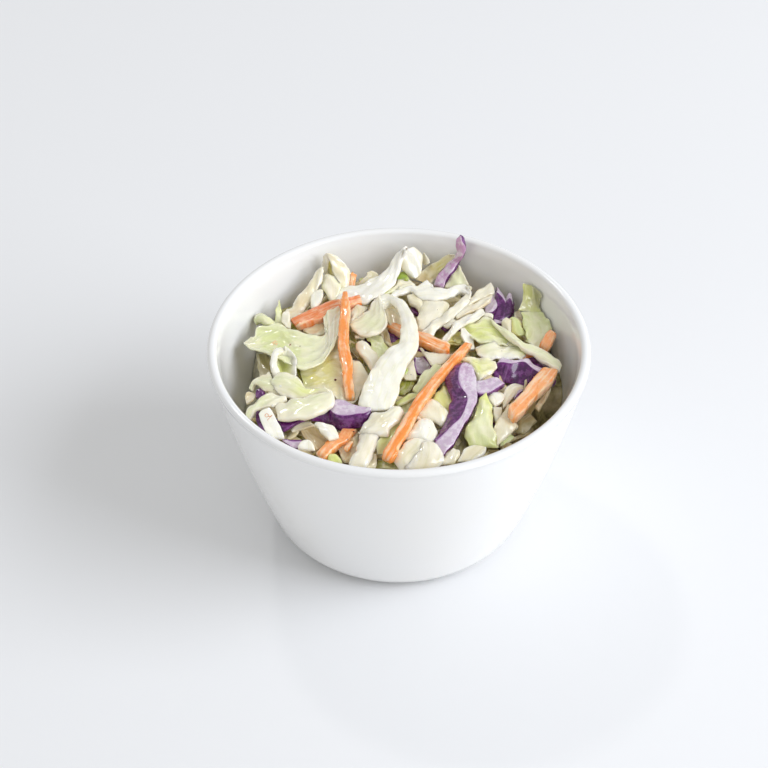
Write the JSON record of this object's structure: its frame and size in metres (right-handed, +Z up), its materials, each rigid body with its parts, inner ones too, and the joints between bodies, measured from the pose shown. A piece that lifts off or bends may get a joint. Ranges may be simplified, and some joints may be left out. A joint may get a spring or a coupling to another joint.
{
  "type": "coleslaw in bowl",
  "caption": "Coleslaw of shredded white, green and purple cabbage with carrot sticks, heaped in a small flared white bowl.",
  "frame": {"origin": "on the surface the bowl stands on, under the middle of its flat foot", "axes": "+Z up along the bowl's axis, -Y towards the viewer, +X to the viewer's right"},
  "size_m": [0.105, 0.105, 0.0645],
  "materials": {
    "bowl": "smooth glossy white glaze",
    "slaw": "wet raw vegetable shreds in a thin creamy dressing"
  },
  "bodies": {
    "root": {"bowl": "bowl", "slaw": "slaw"}
  },
  "joints": []
}
